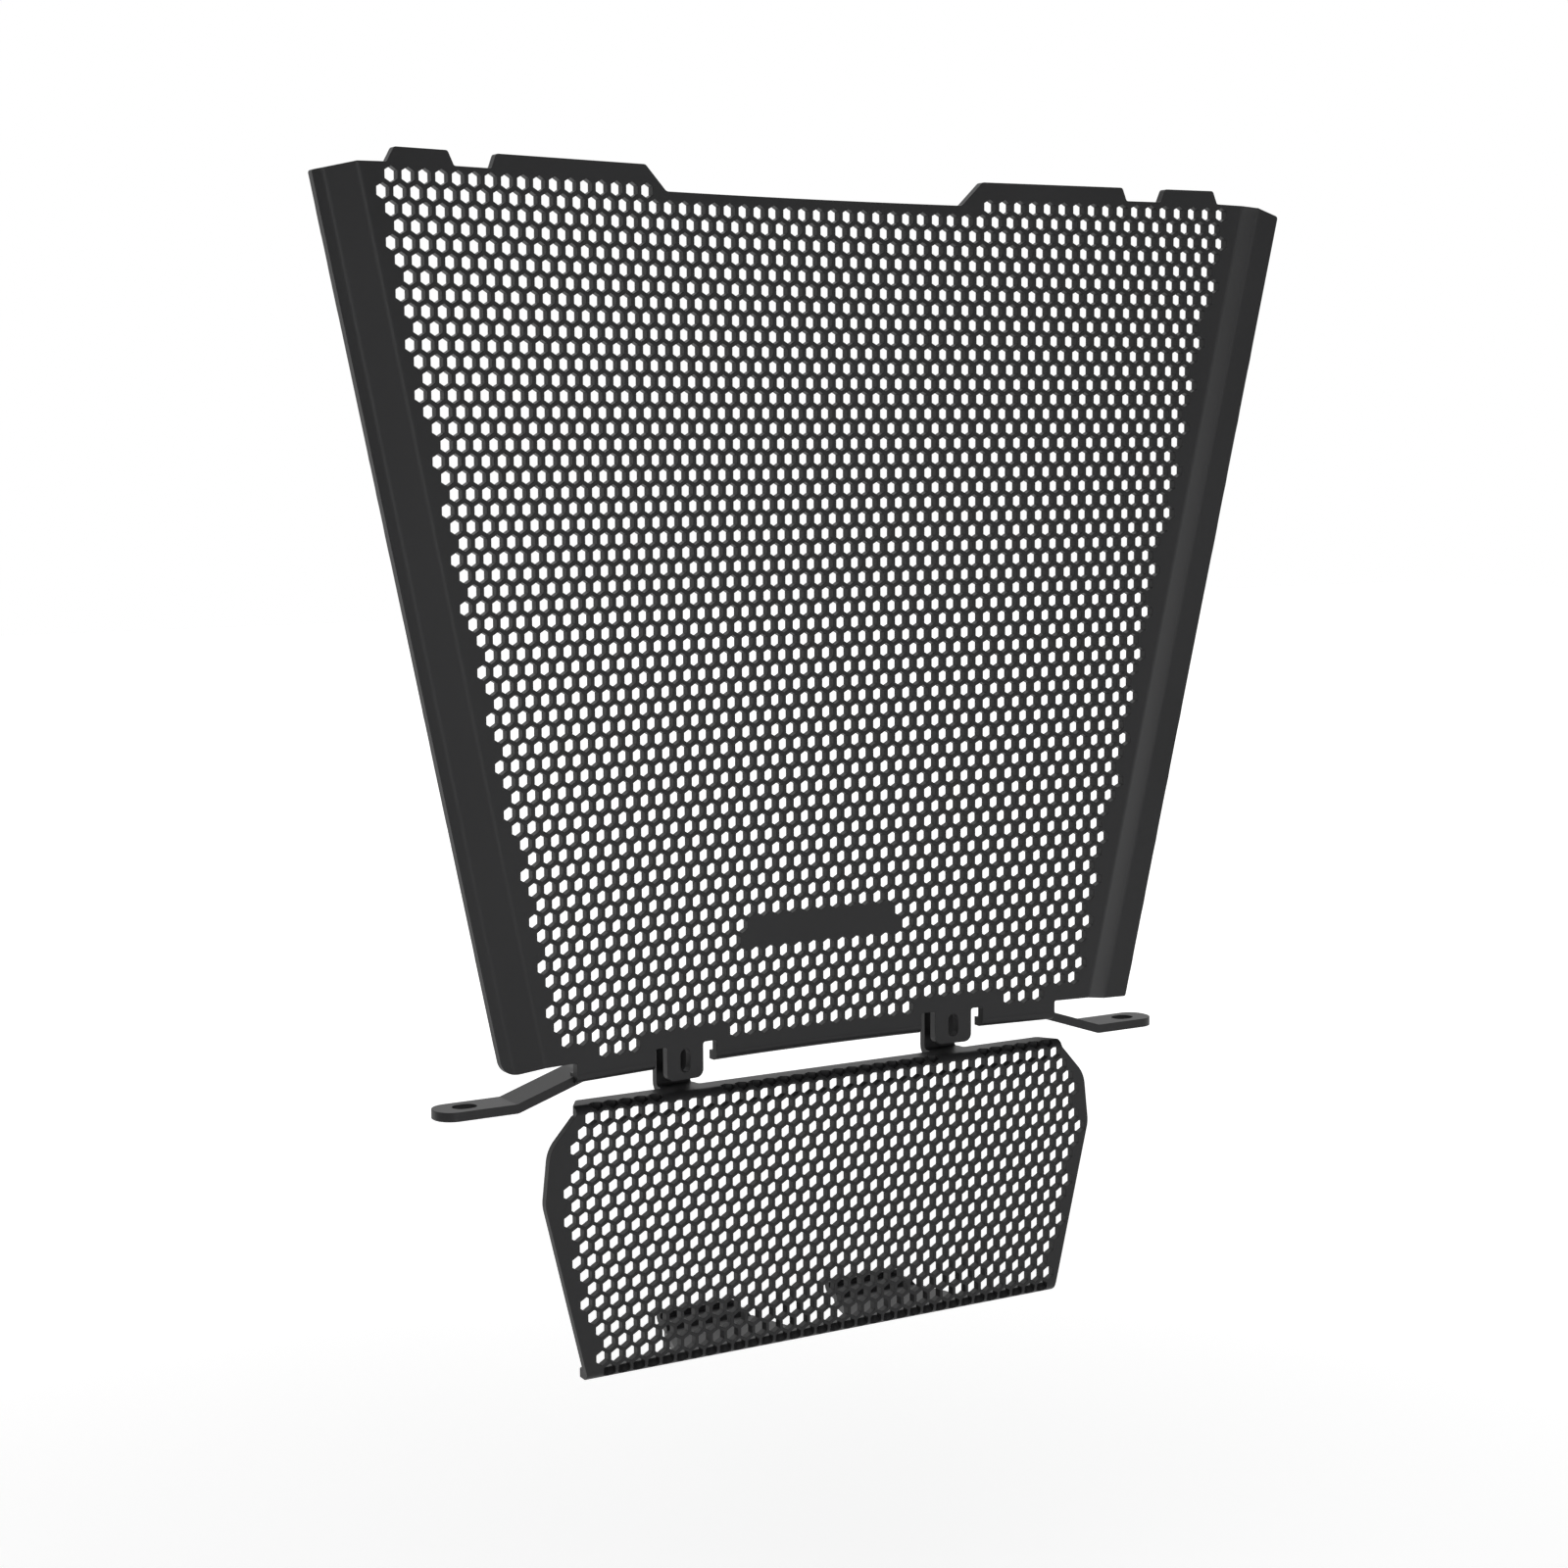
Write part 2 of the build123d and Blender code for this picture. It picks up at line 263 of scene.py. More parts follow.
def plate_mesh(name, outline, loops, hexagons, size, surface, thickness, lines=(), step=6.0):
    """A sheet with holes.

    The outline, loops, hexagons' centres and lines are flat. surface(points, depth) bends them.
    """
    points, edges = [], []

    def add_loop(loop):
        first = len(points)
        points.extend(Vector(p) for p in loop)
        edges.extend((first + i, first + (i + 1) % len(loop)) for i in range(len(loop)))

    add_loop(split(outline, step))
    for loop in loops:
        add_loop(loop)
    for c in hexagons:
        add_loop(HEX_CORNERS * size + c)
    for a, b in lines:
        points.extend((Vector(a), Vector(b)))
        edges.append((len(points) - 2, len(points) - 1))
    flat, _, faces, _, _, _ = delaunay_2d_cdt(points, edges, [], 0, MERGE)
    flat = np.array([tuple(v) for v in flat])
    faces = np.array([tuple(f) for f in faces])
    middle = flat[faces].mean(axis=1)
    keep = inside(middle, outline)
    for loop in loops:
        keep &= ~inside(middle, loop)
    if len(hexagons):
        keep &= ~in_hexagons(middle, hexagons, size)
    faces = faces[keep]
    a, b, c = flat[faces[:, 0]], flat[faces[:, 1]], flat[faces[:, 2]]
    area = (b[:, 0] - a[:, 0]) * (c[:, 1] - a[:, 1]) - (b[:, 1] - a[:, 1]) * (c[:, 0] - a[:, 0])
    faces[area < 0] = faces[area < 0][:, ::-1]
    faces = faces[np.abs(area) > SLIVER]
    used, faces = np.unique(faces, return_inverse=True)
    faces = faces.reshape(-1, 3)
    flat = flat[used]

    # Edges with metal on one side only are cut edges, with the metal on their left
    directed = np.vstack([faces[:, (0, 1)], faces[:, (1, 2)], faces[:, (2, 0)]])
    known = set(map(tuple, directed))
    rim = np.array([e for e in map(tuple, directed) if (e[1], e[0]) not in known])
    d = flat[rim[:, 1]] - flat[rim[:, 0]]
    out = np.c_[d[:, 1], -d[:, 0]] / np.linalg.norm(d, axis=1)[:, None]
    total = np.zeros_like(flat)
    np.add.at(total, rim[:, 0], out)
    np.add.at(total, rim[:, 1], out)
    square = (total**2).sum(axis=1)
    shift = np.where(square[:, None] > 0.5, 2 * total / np.maximum(square, 0.5)[:, None], 0)
    inset = flat - shift * EDGE
    on_rim = np.unique(rim)
    rim_at = np.zeros(len(flat), int)
    rim_at[on_rim] = np.arange(len(on_rim))
    wall = flat[on_rim]
    front, back = surface(inset, 0), surface(inset, thickness)
    upper, lower = surface(wall, EDGE), surface(wall, thickness - EDGE)
    n, m = len(flat), len(on_rim)
    verts = np.vstack([front, back, upper, lower]) * MM

    # Normals: smooth faces follow the surface, walls are flat, and the rounding joins the two
    along = surface(inset + (PROBE, 0), 0) - surface(inset - (PROBE, 0), 0)
    across = surface(inset + (0, PROBE), 0) - surface(inset - (0, PROBE), 0)
    normal = np.cross(along, across)
    normal /= np.linalg.norm(normal, axis=1)[:, None]
    i, j = rim[:, 0], rim[:, 1]
    ri, rj = rim_at[i], rim_at[j]
    wall_normal = np.cross(lower[ri] - upper[ri], upper[rj] - upper[ri])
    wall_normal /= np.maximum(np.linalg.norm(wall_normal, axis=1), 1e-9)[:, None]
    u, w = 2 * n, 2 * n + m
    quads = np.vstack([
        np.c_[i, u + ri, u + rj, j],
        np.c_[u + ri, w + ri, w + rj, u + rj],
        np.c_[w + ri, n + i, n + j, w + rj],
    ])
    polygons = faces.tolist() + (faces[:, ::-1] + n).tolist() + quads.tolist()
    wn = wall_normal
    loops_n = np.vstack([
        normal[faces].reshape(-1, 3),
        -normal[faces[:, ::-1]].reshape(-1, 3),
        np.stack([normal[i], wn, wn, normal[j]], 1).reshape(-1, 3),
        np.stack([wn, wn, wn, wn], 1).reshape(-1, 3),
        np.stack([wn, -normal[i], -normal[j], wn], 1).reshape(-1, 3),
    ])
    mesh = bpy.data.meshes.new(name)
    mesh.from_pydata(verts.tolist(), [], polygons)
    mesh.normals_split_custom_set(loops_n.tolist())
    obj = bpy.data.objects.new(name, mesh)
    bpy.context.collection.objects.link(obj)
    return obj


# Radiator guard: depths of the front and back faces over the front view
def border_profile(side):
    """Plan of a side border from its fold outward, as its front and back faces."""
    run, flat = RAMP_RUN[side], FLAT[side] + LAP_OUT
    points = [
        (-LAP_IN, LAP_IN * SLOPE),
        (0, 0),
        (run, RAMP_BACK),
        (run + flat, RAMP_BACK - flat * SLOPE),
    ]
    line, _ = dense(rounded(points, BORDER_BEND, step=0.3))
    return line, parallel(line, SHEET)


BORDERS = {side: border_profile(side) for side in (-1, 1)}


def upper_surface(points, depth):
    """Radiator guard: a point of the front view at a depth behind the front face."""
    x, z = points[:, 0], points[:, 1]
    fold = fold_x(z)
    u = np.abs(x) - fold
    plate_front = plate_y(x)
    angle = np.minimum(np.abs(x) / RADIUS, WING)
    y = plate_front + depth / np.cos(angle)
    for side, (front, back) in BORDERS.items():
        here = (u > -FOLD_REACH) & (np.sign(x) == side)
        near = np.interp(u, front[:, 0], front[:, 1])
        far = np.interp(u, back[:, 0], back[:, 1])
        y = np.where(here, plate_y(fold) + near + (far - near) * depth / SHEET, y)
    return np.c_[x, y, z]


LIP_TOP = PLATE_BOTTOM + SHEET
left_total = RAMP_RUN[-1] + FLAT[-1]
left_low = FOLD_BOTTOM[1] - left_total * FOLD_SLOPE
left_high = FOLD_TOP[1] - left_total * FOLD_SLOPE
right_low = FOLD_BOTTOM[1] - BOTTOM_DROP
right_high = FOLD_TOP[1] - TOP_DROP
right_total = RAMP_RUN[1] + FLAT[1]
border_ends = {
    -1: [
        (fold_x(left_high) + left_total, left_high, 0.8),
        (fold_x(left_low) + left_total, left_low, CORNER_ROUND),
    ],
    1: [
        (FOLD_TOP[0] + RAMP_RUN[1], FOLD_TOP[1], 1),
        (fold_x(right_high) + right_total, right_high, 1),
        (fold_x(right_low) + right_total, right_low, 0.8),
        (fold_x(right_low) + RAMP_RUN[1], right_low, 1),
    ],
}


def upper_half(side):
    """Half the radiator guard's outline, from its top edge to its bottom edge, as x, z and radius."""
    high, low = PLATE_TOP + TOOTH_RISE, PLATE_TOP
    levels = (PLATE_TOP - VALLEY_DROP, high, high, low, low, high, high, low)
    radii = (2, 1.5, 1, 0.8, 0.8, 1, 1, 0.8)
    return list(zip(TEETH[side], levels, radii)) + [
        (*FOLD_TOP, 0),
        *border_ends[side],
        (*FOLD_BOTTOM, 0),
        (ARM_STEP[side], FOLD_BOTTOM[1], 0.5),
        (ARM_STEP[side], LIP_TOP, 0),
        (NOTCH[1], LIP_TOP, 0),
        (NOTCH[1], NOTCH_TOP, 0.8),
        (TAB_MIDDLE + TAB_WIDTH / 2, NOTCH_TOP, 0.8),
        (TAB_MIDDLE + TAB_WIDTH / 2, TAB_BOTTOM, TAB_CORNER),
        (TAB_MIDDLE - TAB_WIDTH / 2, TAB_BOTTOM, TAB_CORNER),
        (TAB_MIDDLE - TAB_WIDTH / 2, NOTCH_TOP, 0.8),
        (NOTCH[0], NOTCH_TOP, 0.8),
        (NOTCH[0], LIP_TOP, 0),
    ]


chain = upper_half(1) + [(-x, z, r) for x, z, r in reversed(upper_half(-1))]
upper_outline = rounded([(x, z) for x, z, r in chain], [r for x, z, r in chain], closed=True)[::-1]


def upper_cells():
    """Hexagons of the radiator guard's mesh, with a bare field low in the middle."""
    cells = []
    for j in range(UPPER_FIRST_ROW, UPPER_LAST_ROW + 1):
        z = -j * sqrt(3) / 2
        for i in range(-60, 61):
            x = i if j % 2 else i + 0.5
            a = abs(x)
            reach, growth = UPPER_REACH[1 if x > 0 else -1]
            bare = a > reach + growth * z
            if j == UPPER_FIRST_ROW:
                bare |= not UPPER_FIRST_SPAN[0] <= a <= UPPER_FIRST_SPAN[1]
            if j == UPPER_LAST_ROW:
                bare |= a > UPPER_LAST_REACH or UPPER_LAST_BARE[0] <= a <= UPPER_LAST_BARE[1]
            if j in NAME_PLATE_ROWS:
                bare |= a < NAME_PLATE_HALF
            if not bare:
                cells.append((x * UPPER_PITCH + MESH_OFFSET, UPPER_ROW_0 + z * UPPER_PITCH))
    return np.array(cells)


tab_slots = [slot_loop(s * TAB_MIDDLE, TAB_SLOT_HEIGHT, *TAB_SLOT, upright=True) for s in (-1, 1)]
low, high = FOLD_BOTTOM[1] - 6, FOLD_TOP[1] + 2
fold_lines = [
    ((s * (fold_x(low) + (bend + u)), low), (s * (fold_x(high) + (bend + u)), high))
    for s in (-1, 1)
    for bend in (0, RAMP_RUN[s])
    for u in BEND_LINES
]
upper_plate = plate_mesh(
    "upper_plate", upper_outline, tab_slots, upper_cells(), UPPER_HEX, upper_surface, SHEET, fold_lines
)


def closed_solid(name, verts, polygons, sharp=30):
    """A closed mesh from its own points and faces, in millimetres."""
    mesh = bpy.data.meshes.new(name)
    mesh.from_pydata((np.array(verts) * MM).tolist(), [], polygons)
    mesh.validate()
    mesh.shade_smooth()
    mesh.set_sharp_from_angle(angle=radians(sharp))
    obj = bpy.data.objects.new(name, mesh)
    bpy.context.collection.objects.link(obj)
    return obj


def lip(name, x0, x1):
    """The backward fold along one stretch of the bottom edge, below the plate."""
    corners = [
        (0, LIP_TOP), (0, PLATE_BOTTOM), (LIP_DEPTH, PLATE_BOTTOM),
        (LIP_DEPTH, LIP_TOP), (SHEET, LIP_TOP), (SHEET, LIP_TOP + 0.5), (0, LIP_TOP + 0.5),
    ]
    profile = rounded(corners, [0, LIP_BEND, EDGE, EDGE, 0, 0, 0], closed=True, step=0.3)
    in_plate = profile[:, 1] > LIP_TOP
    profile[in_plate, 0] = np.clip(profile[in_plate, 0], EDGE, SHEET - EDGE)
    xs = np.linspace(x0 + EDGE_IN, x1 - EDGE_IN, 2 + int((x1 - x0) / 5))
    k = len(profile)
    verts = [(x, plate_y(x) + v, w) for x in xs for v, w in profile]
    polygons = [
        (r * k + i, r * k + (i + 1) % k, (r + 1) * k + (i + 1) % k, (r + 1) * k + i)
        for r in range(len(xs) - 1) for i in range(k)
    ]
    polygons += [tuple(range(k))[::-1], tuple((len(xs) - 1) * k + i for i in range(k))]
    return closed_solid(name, verts, polygons)


lips = [
    lip("upper_lip_left", -ARM_STEP[-1], -NOTCH[1]),
    lip("upper_lip_middle", -NOTCH[0], NOTCH[0]),
    lip("upper_lip_right", NOTCH[1], ARM_STEP[1]),
]

# Arms: the plan is flat, the profile gives the heights of their two faces
arm_points = [
    (ARM_INNER - 5, PLATE_BOTTOM),
    (ARM_BEND_TOP, PLATE_BOTTOM),
    (ARM_KNEE, 0),
    (ARM_TIP + 5, 0),
]
arm_under, _ = dense(rounded(arm_points, ARM_BEND, step=0.3))
arm_over = parallel(arm_under, SHEET)


def arm(side):
    """One slotted arm."""
    def surface(points, depth):
        a = np.abs(points[:, 0])
        over = np.interp(a, arm_over[:, 0], arm_over[:, 1])
        under = np.interp(a, arm_under[:, 0], arm_under[:, 1])
        return np.c_[points[:, 0], points[:, 1], over + (under - over) * depth / SHEET]

    w = ARM_HALF_WIDTH
    corners = [
        (ARM_INNER, ARM_ROOT_FRONT),
        (ARM_BEND_TOP, -w),
        (ARM_TIP, -w),
        (ARM_TIP, w),
        (ARM_INNER, w),
    ]
    outline = rounded(corners, [0, 2, ARM_END_ROUND, ARM_END_ROUND, ARM_ROOT_ROUND], closed=True)
    loop = slot_loop(ARM_SLOT_MIDDLE, 0, *ARM_SLOT)
    lines = [((b + u, -w - 1), (b + u, w + 1)) for b in (ARM_BEND_TOP, ARM_KNEE) for u in ARM_BEND_LINES]
    if side < 0:
        outline, loop = (outline * (-1, 1))[::-1], (loop * (-1, 1))[::-1]
        lines = [((-a[0], a[1]), (-b[0], b[1])) for a, b in lines]
    name = "arm_right" if side > 0 else "arm_left"
    return plate_mesh(name, outline, [loop], [], 0, surface, SHEET, lines)


arms = [arm(-1), arm(1)]

# Oil cooler guard: one flat pattern, bent round a profile from the lobes' lips over the face to the back
# of the top flange. The tabs run on past the flange and turn up on a profile of their own.
profile_start = [
    (LOBE_REACH, COOLER_BOTTOM + LOBE_STEP + COOLER_SHEET + LOBE_LIP),
    (LOBE_REACH, COOLER_BOTTOM + LOBE_STEP),
    (LOBE_STEP_AT + LOBE_STEP, COOLER_BOTTOM + LOBE_STEP),
    (LOBE_STEP_AT, COOLER_BOTTOM),
    (COOLER_FRONT, COOLER_BOTTOM),
    (COOLER_FRONT, COOLER_TOP),
]
start_radii = [0, 3.7, 0.5, 3.2, COOLER_BEND, COOLER_BEND]


def bent_profile(points, radii):
    """Outer face of the bent sheet: its points, their running length from row 0, and their normals."""
    line, length = dense(rounded(profile_start + points, start_radii + radii, step=0.2))
    on_face = np.abs(line[:, 0] - COOLER_FRONT) < 0.001
    along = length - length[on_face][0] - LOWER_ROW_0 + line[on_face][0][1]
    tangent = np.gradient(line, axis=0)
    tangent /= np.linalg.norm(tangent, axis=1)[:, None]
    return line, along, np.c_[-tangent[:, 1], tangent[:, 0]]


FLANGE = bent_profile([(TOP_FLANGE_BACK + 1, COOLER_TOP)], [0])
TAB = bent_profile([(COOLER_TAB_FRONT, COOLER_TOP), (COOLER_TAB_FRONT, COOLER_TAB_TOP)], [1.0, 0])


def run_at(profile, y, bottom):
    """Running length where a flange passes a depth."""
    line, along, _ = profile
    part = along < 0 if bottom else along > 0
    order = np.argsort(line[part, 0])
    return float(np.interp(y, line[part, 0][order], along[part][order]))


def bent(profile, points, depth):
    line, along, normal = profile
    y, z, ny, nz = [np.interp(points[:, 1], along, v) for v in (*line.T, *normal.T)]
    return np.c_[points[:, 0], y - ny * depth, z - nz * depth]


tab = COOLER_TAB_WIDTH / 2
s_tab_bend = run_at(TAB, COOLER_TAB_FRONT - 1.05, False)


def lower_surface(points, depth):
    """Oil cooler guard: a point of the flat pattern, bent to the profile."""
    on_tab = np.abs(np.abs(points[:, 0]) - TAB_MIDDLE) < tab + TAB_RELIEF / 2
    turned = on_tab & (points[:, 1] > s_tab_bend - 1)
    return np.where(turned[:, None], bent(TAB, points, depth), bent(FLANGE, points, depth))


s_top_back = run_at(FLANGE, TOP_FLANGE_BACK, False) - EDGE_IN
s_top_front = run_at(FLANGE, COOLER_FRONT + COOLER_BEND, False)
s_bottom_back = run_at(FLANGE, BOTTOM_FLANGE_BACK, True)
s_lobe_back = run_at(FLANGE, LOBE_REACH - 3.8, True)
s_lobe_end = float(FLANGE[1][0]) + 0.05
s_tab_top = float(TAB[1][-1]) - 0.05


def face_s(z):
    return z - LOWER_ROW_0


cooler_half = [
    (TAB_MIDDLE - tab - TAB_RELIEF, s_top_back, 0.8),
    (TAB_MIDDLE - tab - TAB_RELIEF, s_tab_bend, 0.3),
    (TAB_MIDDLE - tab, s_tab_bend, 0.3),
    (TAB_MIDDLE - tab, s_tab_top, TAB_CORNER),
    (TAB_MIDDLE + tab, s_tab_top, TAB_CORNER),
    (TAB_MIDDLE + tab, s_tab_bend, 0.3),
    (TAB_MIDDLE + tab + TAB_RELIEF, s_tab_bend, 0.3),
    (TAB_MIDDLE + tab + TAB_RELIEF, s_top_back, 0.8),
    (TOP_HALF[1], s_top_back, 1.5),
    (TOP_HALF[0], s_top_front, 1.5),
    (TOP_HALF[0], face_s(COOLER_TOP - 2.5), 1.5),
    (COOLER_SHOULDER[0], face_s(COOLER_SHOULDER[1]), SHOULDER_ROUND),
    (COOLER_WIDEST[0], face_s(COOLER_WIDEST[1]), SHOULDER_ROUND),
    (COOLER_FOOT[0], face_s(COOLER_FOOT[1]), 4),
    (BOTTOM_HALF, s_bottom_back, 2),
    (LOBE_BASE[1], s_bottom_back, 2),
    (LOBE_BACK[1], s_lobe_back, 0),
    (LOBE_BACK[1], s_lobe_end, 0.8),
    (LOBE_BACK[0], s_lobe_end, 0.8),
    (LOBE_BACK[0], s_lobe_back, 0),
    (LOBE_BASE[0], s_bottom_back, 2),
]
chain = cooler_half + [(-x, s, r) for x, s, r in reversed(cooler_half)]
lower_outline = rounded([(x, s) for x, s, r in chain], [r for x, s, r in chain], closed=True)[::-1]


def lower_cells():
    """Hexagons of the oil cooler guard, with rows round both bends."""
    cells = []
    for j in range(LOWER_FIRST_ROW, LOWER_LAST_ROW + 1):
        for i in range(-40, 41):
            x = i + 0.5 if j % 2 else i
            side = 1 if x > 0 else -1
            grown, row_grown = LOWER_GROWS[side]
            shrunk, row_shrunk = LOWER_SHRINKS[side]
            change = LOWER_CHANGE[side]
            reach = min(grown + change * (j - row_grown), shrunk - change * (j - row_shrunk))
            reach = LOWER_OWN_REACH.get(j, reach)
            across = x * LOWER_PITCH + MESH_OFFSET
            at_tab = j == LOWER_FIRST_ROW and abs(abs(across) - TAB_MIDDLE) < FLANGE_SOLID
            if abs(x) <= reach and not at_tab:
                cells.append((across, -j * LOWER_PITCH * sqrt(3) / 2))
    return np.array(cells)


def bend_lines(profile, spans):
    """Lines along the bends over the given spans, so that the flat pattern folds smoothly."""
    _, along, normal = profile
    turning = np.linalg.norm(np.gradient(normal, axis=0), axis=1) > 1e-4
    starts = np.flatnonzero(np.diff(turning.astype(int)) == 1)
    stops = np.flatnonzero(np.diff(turning.astype(int)) == -1)
    return [
        ((x0, s), (x1, s)) for a, b in zip(starts, stops)
        for s in np.linspace(along[a], along[b + 1], 5) for x0, x1 in spans
    ]


upright = (np.abs(TAB[0][:, 0] - COOLER_TAB_FRONT) < 0.001) & (TAB[1] > 0)
slot_s = float(np.interp(TAB_SLOT_HEIGHT, TAB[0][upright, 1], TAB[1][upright]))
lower_slots = [slot_loop(s * TAB_MIDDLE, slot_s, *TAB_SLOT, upright=True) for s in (-1, 1)]
tab_spans = [(s * TAB_MIDDLE - tab, s * TAB_MIDDLE + tab) for s in (-1, 1)]
folds = bend_lines(FLANGE, [(-120, 120)])
folds += [line for line in bend_lines(TAB, tab_spans) if line[0][1] > s_tab_bend - 1]
cooler_plate = plate_mesh(
    "cooler_plate", lower_outline, lower_slots, lower_cells(), LOWER_HEX, lower_surface, COOLER_SHEET,
    folds,
)


# Powder coat: near black, satin, with a fine orange-peel grain
COAT_DARK = (0.018, 0.018, 0.019, 1)
COAT_PALE = (0.023, 0.023, 0.024, 1)
COAT_SPECULAR = 0.25
COAT_ROUGH = (0.4, 0.48)
GRAIN_SCALE = 900
GRAIN_HEIGHT = 0.00005
GRAIN_STRENGTH = 0.12
CLOUD_SCALE = 14


def noise(nodes, scale, detail):
    node = nodes.new("ShaderNodeTexNoise")
    node.inputs["Scale"].default_value = scale
    node.inputs["Detail"].default_value = detail
    return node


def powder_coat():
    mat = bpy.data.materials.new("powder_coat")
    mat.use_nodes = True
    nodes, links = mat.node_tree.nodes, mat.node_tree.links
    shader = nodes["Principled BSDF"]
    shader.inputs["Specular IOR Level"].default_value = COAT_SPECULAR
    place = nodes.new("ShaderNodeTexCoord")
    grain = noise(nodes, GRAIN_SCALE, 4)
    cloud = noise(nodes, CLOUD_SCALE, 3)
    links.new(place.outputs["Object"], grain.inputs["Vector"])
    links.new(place.outputs["Object"], cloud.inputs["Vector"])
    colour = nodes.new("ShaderNodeValToRGB")
    colour.color_ramp.elements[0].position = 0.3
    colour.color_ramp.elements[0].color = COAT_DARK
    colour.color_ramp.elements[1].position = 0.7
    colour.color_ramp.elements[1].color = COAT_PALE
    links.new(cloud.outputs["Fac"], colour.inputs["Fac"])
    links.new(colour.outputs["Color"], shader.inputs["Base Color"])
    rough = nodes.new("ShaderNodeMapRange")
    rough.inputs["To Min"].default_value, rough.inputs["To Max"].default_value = COAT_ROUGH
    links.new(cloud.outputs["Fac"], rough.inputs["Value"])
    links.new(rough.outputs["Result"], shader.inputs["Roughness"])
    bump = nodes.new("ShaderNodeBump")
    bump.inputs["Strength"].default_value = GRAIN_STRENGTH
    bump.inputs["Distance"].default_value = GRAIN_HEIGHT
    links.new(grain.outputs["Fac"], bump.inputs["Height"])
    links.new(bump.outputs["Normal"], shader.inputs["Normal"])
    return mat


coat = powder_coat()
for piece in [upper_plate, *lips, *arms]:
    piece.data.materials.append(coat)
    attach(piece, "root")
    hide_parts("radiator_guard")
cooler_plate.data.materials.append(coat)
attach(cooler_plate, "root")
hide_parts("oil_cooler_guard")


def smooth_range(tree, source, low, high, to_low, to_high):
    """A value that goes smoothly from to_low to to_high while the source goes from low to high."""
    node = tree.nodes.new("ShaderNodeMapRange")
    node.interpolation_type = "SMOOTHSTEP"
    node.inputs["From Min"].default_value = low
    node.inputs["From Max"].default_value = high
    node.inputs["To Min"].default_value = to_low
    node.inputs["To Max"].default_value = to_high
    tree.links.new(source, node.inputs["Value"])
    return node.outputs["Result"]


def maths(tree, operation, a, b):
    node = tree.nodes.new("ShaderNodeMath")
    node.operation = operation
    tree.links.new(a, node.inputs[0])
    tree.links.new(b, node.inputs[1])
    return node.outputs["Value"]


# Floor well below the hanging guard. It is pale for the camera, mirrors and glass, up to white far away,
# and keeps the guard's shadow nearby.
FLOOR_Z = -0.35
FLOOR_SIZE = 16
FLOOR_COLOUR = (0.86, 0.86, 0.86, 1)
FLOOR_GLOW = (0.4, 2.0, 0.6, 1.0)      # distances from the middle, and the glow at each

bpy.ops.mesh.primitive_plane_add(size=FLOOR_SIZE, location=(0, 0, FLOOR_Z))
floor = bpy.context.object
floor.name = "floor"
pale = bpy.data.materials.new("pale_floor")
pale.use_nodes = True
tree = pale.node_tree
shader = tree.nodes["Principled BSDF"]
shader.inputs["Base Color"].default_value = FLOOR_COLOUR
shader.inputs["Roughness"].default_value = 0.9
shader.inputs["Specular IOR Level"].default_value = 0.1
shader.inputs["Emission Color"].default_value = (1, 1, 1, 1)
path = tree.nodes.new("ShaderNodeLightPath")
spot = tree.nodes.new("ShaderNodeTexCoord")
reach = tree.nodes.new("ShaderNodeVectorMath")
reach.operation = "LENGTH"
tree.links.new(spot.outputs["Object"], reach.inputs[0])
far = smooth_range(tree, reach.outputs["Value"], *FLOOR_GLOW)
mirrors = maths(tree, "MAXIMUM", path.outputs["Is Transmission Ray"], path.outputs["Is Glossy Ray"])
seen = maths(tree, "MAXIMUM", path.outputs["Is Camera Ray"], mirrors)
glow = maths(tree, "MULTIPLY", seen, far)
tree.links.new(glow, shader.inputs["Emission Strength"])
floor.data.materials.append(pale)

# World: white for the camera and glass, and behind the guard for mirrors too. It lights the guard by
# direction, brighter behind and below than in front and above. Each range holds two values of one part of
# the direction, and the level at each.
BEHIND = (-0.1, 0.6, 0.0, 1.0)
TO_RIGHT = (-0.5, 0.2, 0.2, 0.75)
BELOW = (-0.2, 0.1, 0.8, 0.1)

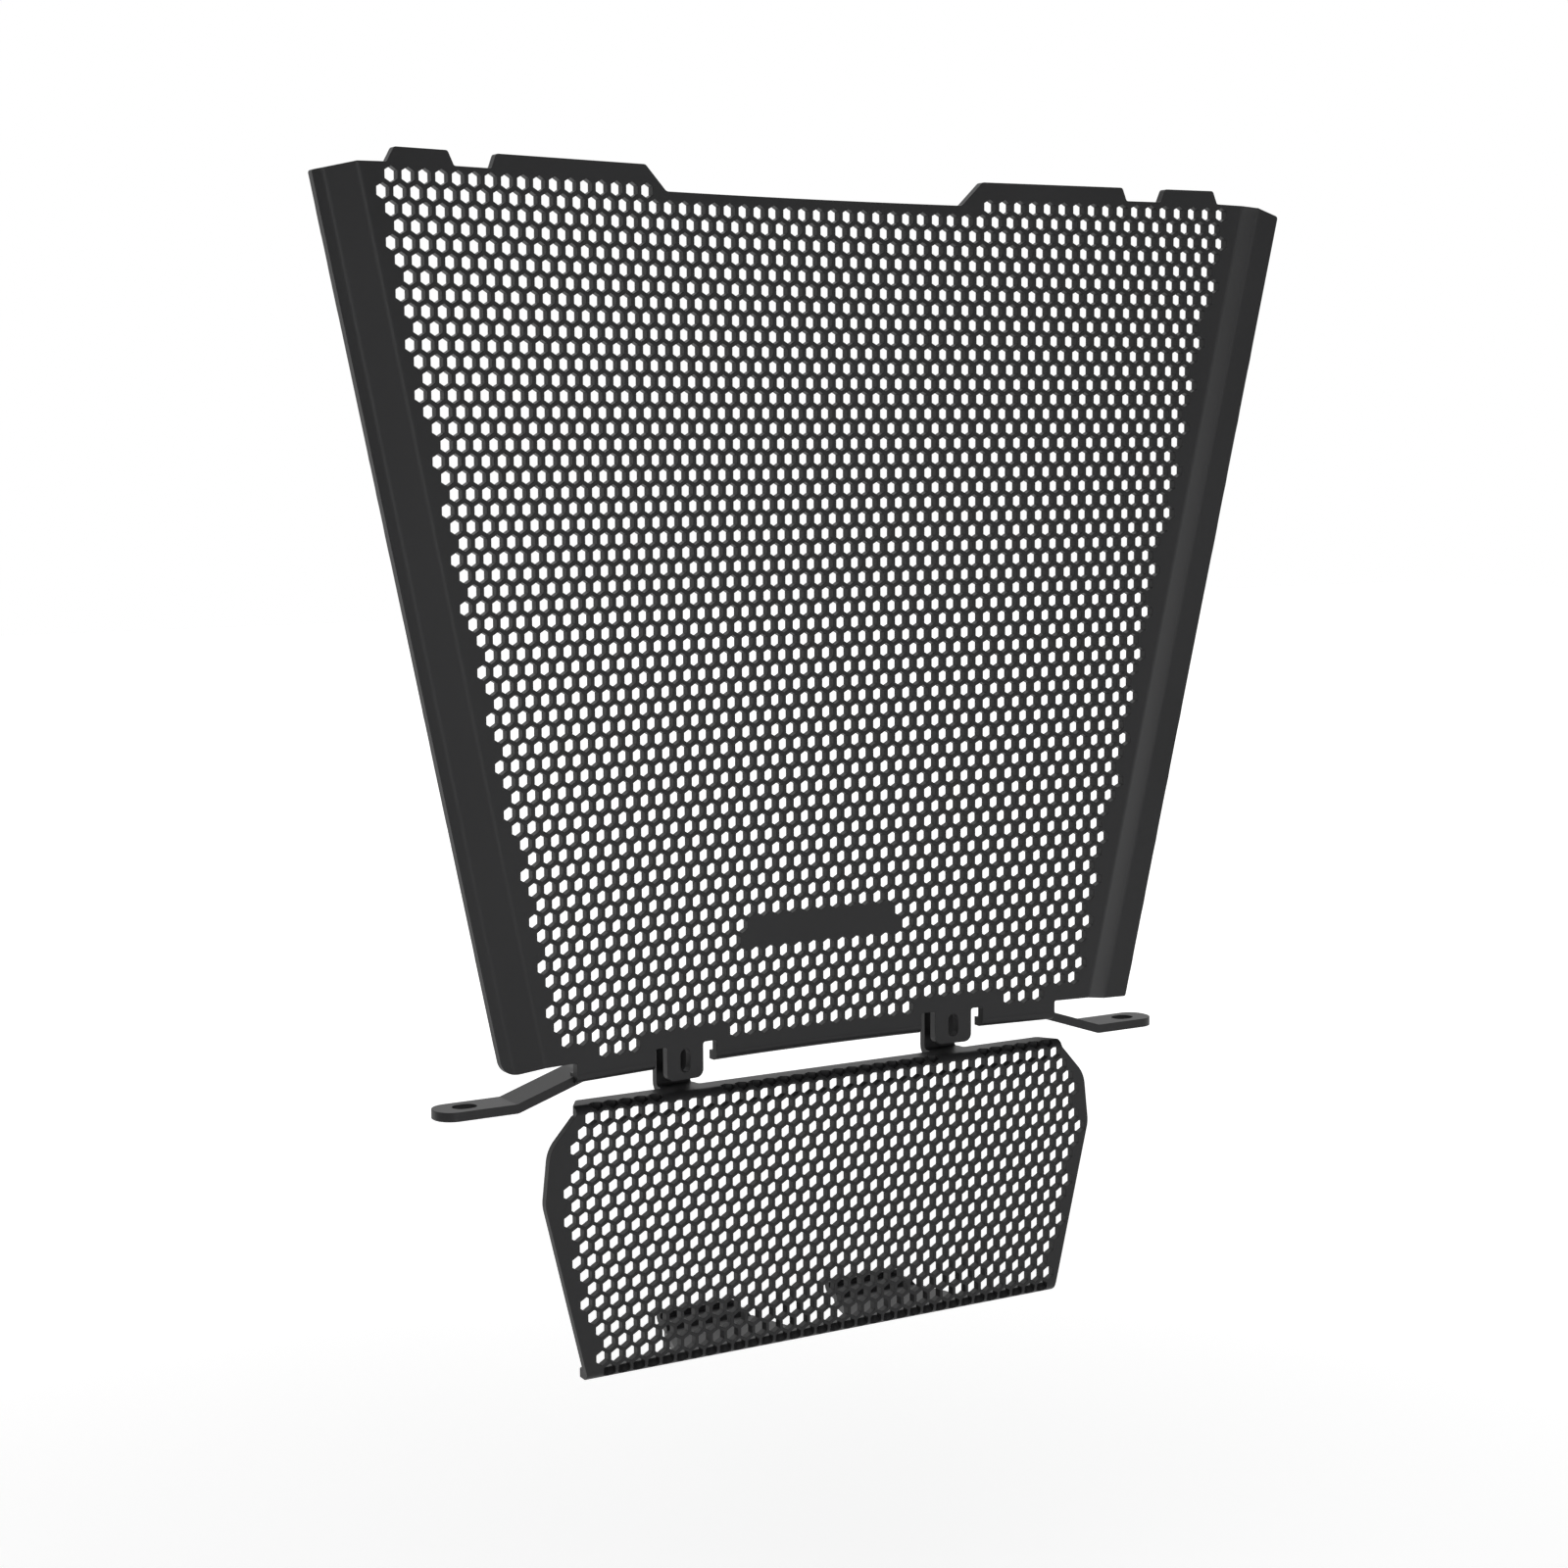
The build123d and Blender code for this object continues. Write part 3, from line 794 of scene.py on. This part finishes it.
world = bpy.data.worlds.new("studio")
bpy.context.scene.world = world
world.use_nodes = True
tree = world.node_tree
background = tree.nodes["Background"]
background.inputs["Color"].default_value = (1, 1, 1, 1)
place = tree.nodes.new("ShaderNodeTexCoord")
axes = tree.nodes.new("ShaderNodeSeparateXYZ")
tree.links.new(place.outputs["Generated"], axes.inputs[0])
behind = smooth_range(tree, axes.outputs["Y"], *BEHIND)
to_right = smooth_range(tree, axes.outputs["X"], *TO_RIGHT)
below = smooth_range(tree, axes.outputs["Z"], *BELOW)
level = maths(tree, "MAXIMUM", maths(tree, "MULTIPLY", behind, to_right), below)
path = tree.nodes.new("ShaderNodeLightPath")
mirrored = maths(tree, "MULTIPLY", behind, path.outputs["Is Glossy Ray"])
seen = maths(tree, "MAXIMUM", path.outputs["Is Camera Ray"], mirrored)
seen = maths(tree, "MAXIMUM", seen, path.outputs["Is Transmission Ray"])
tree.links.new(maths(tree, "MAXIMUM", level, seen), background.inputs["Strength"])

# Lamps: place, size, power, and the shares of it that reach gloss and matt colour
AIM = (0, 0, 0.12)
LAMPS = {
    "key": ((-0.9, -1.4, 1.5), (1.2, 1.2), 7, 0.2, 1.0),
    "strip": ((-0.05, -1.8, 0.3), (0.25, 1.4), 7, 1.0, 0.2),
    "fill": ((1.6, -1.2, 0.5), (1.2, 1.2), 3, 0.0, 1.0),
    "top": ((0, 0.9, 1.6), (1.6, 1.0), 3.5, 0.1, 1.0),
}
for name, (place, size, power, shine, matt) in LAMPS.items():
    data = bpy.data.lights.new(name, "AREA")
    data.shape = "RECTANGLE"
    data.size, data.size_y = size
    data.energy = power
    data.specular_factor = shine
    data.diffuse_factor = matt
    lamp = bpy.data.objects.new(name, data)
    lamp.location = place
    lamp.rotation_euler = (Vector(AIM) - Vector(place)).to_track_quat("-Z", "Y").to_euler()
    bpy.context.collection.objects.link(lamp)

# Camera at the photograph's place, with its axes in the part's frame
CAMERA_PLACE = (-0.517038, -0.83577, 0.218351)
CAMERA_RIGHT = Vector((0.855888, -0.517132, -0.005492))
CAMERA_DOWN = Vector((-0.065563, -0.097967, -0.993027))
CAMERA_FORWARD = Vector((0.512988, 0.850281, -0.117754))
LENS = 64.4817
SENSOR = 36

camera = bpy.data.objects.new("camera", bpy.data.cameras.new("camera"))
camera.data.sensor_width = SENSOR
camera.data.lens = LENS
camera.data.clip_start = 0.05
turn = Matrix((CAMERA_RIGHT, -CAMERA_DOWN, -CAMERA_FORWARD)).transposed()
camera.matrix_world = Matrix.Translation(CAMERA_PLACE) @ turn.to_4x4()
bpy.context.collection.objects.link(camera)
bpy.context.scene.camera = camera
bpy.context.scene.view_settings.view_transform = "Standard"
